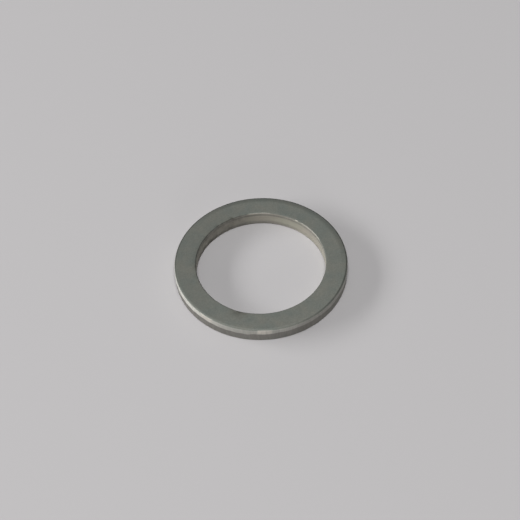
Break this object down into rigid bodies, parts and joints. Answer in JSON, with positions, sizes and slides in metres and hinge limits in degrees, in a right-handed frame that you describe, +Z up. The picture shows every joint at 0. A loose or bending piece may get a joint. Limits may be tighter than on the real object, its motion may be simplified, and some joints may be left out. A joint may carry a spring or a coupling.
{
  "type": "aluminium sealing ring",
  "caption": "Flat round metal sealing ring with a plain bore and softly rolled edges, clamped under the head of a screw plug to seal its hole.",
  "frame": {"origin": "centre of the bore at the lower sealing face", "axes": "+Z up along the bore's axis, from the lower face to the upper face with the rolled edges"},
  "size_m": [0.016, 0.016, 0.0015],
  "materials": {
    "tumbled_aluminium": "dull tumbled faces with a smoother punched wall"
  },
  "bodies": {
    "root": {"sealing_ring": "tumbled_aluminium"}
  },
  "joints": []
}
